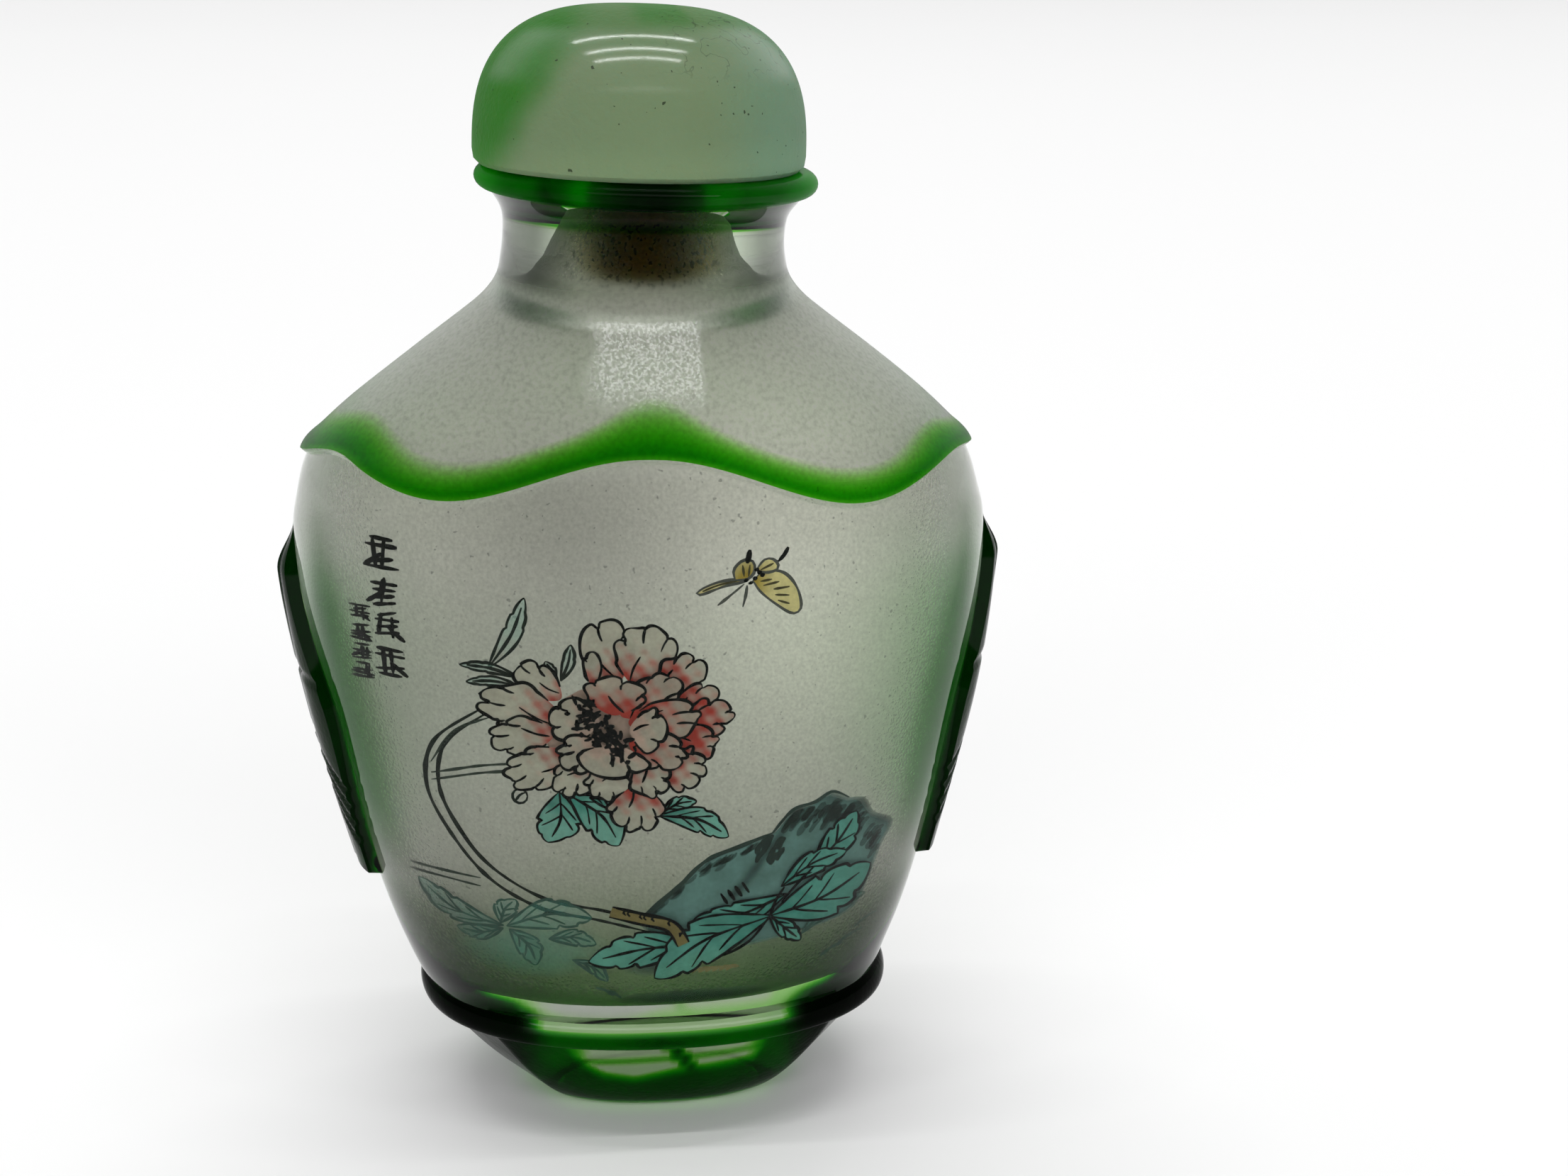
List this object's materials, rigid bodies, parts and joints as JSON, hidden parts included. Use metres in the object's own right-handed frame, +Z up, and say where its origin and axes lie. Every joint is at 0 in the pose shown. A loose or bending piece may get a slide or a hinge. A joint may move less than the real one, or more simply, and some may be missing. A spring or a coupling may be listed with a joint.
{
  "type": "snuff bottle",
  "caption": "Flattened overlay-glass snuff bottle with a wavy carved shoulder, side leaves, oval foot, and a domed glass stopper on a cork.",
  "frame": {"origin": "middle of the whole object's footprint, on the plane it stands on", "axes": "+Z up along the bottle, +X along its width, -Y is the painted front"},
  "size_m": [0.0524, 0.0288, 0.0803],
  "materials": {
    "overlay_glass": "clear polished glass with a frosted inside and a green overlay left on the lip, wavy edge, side leaves and foot",
    "celadon_glass": "polished pale celadon glass with a green zone",
    "cork": "matt cork"
  },
  "bodies": {
    "root": {"bottle": "overlay_glass", "stopper_cap": "celadon_glass", "stopper_cork": "cork"}
  },
  "joints": []
}
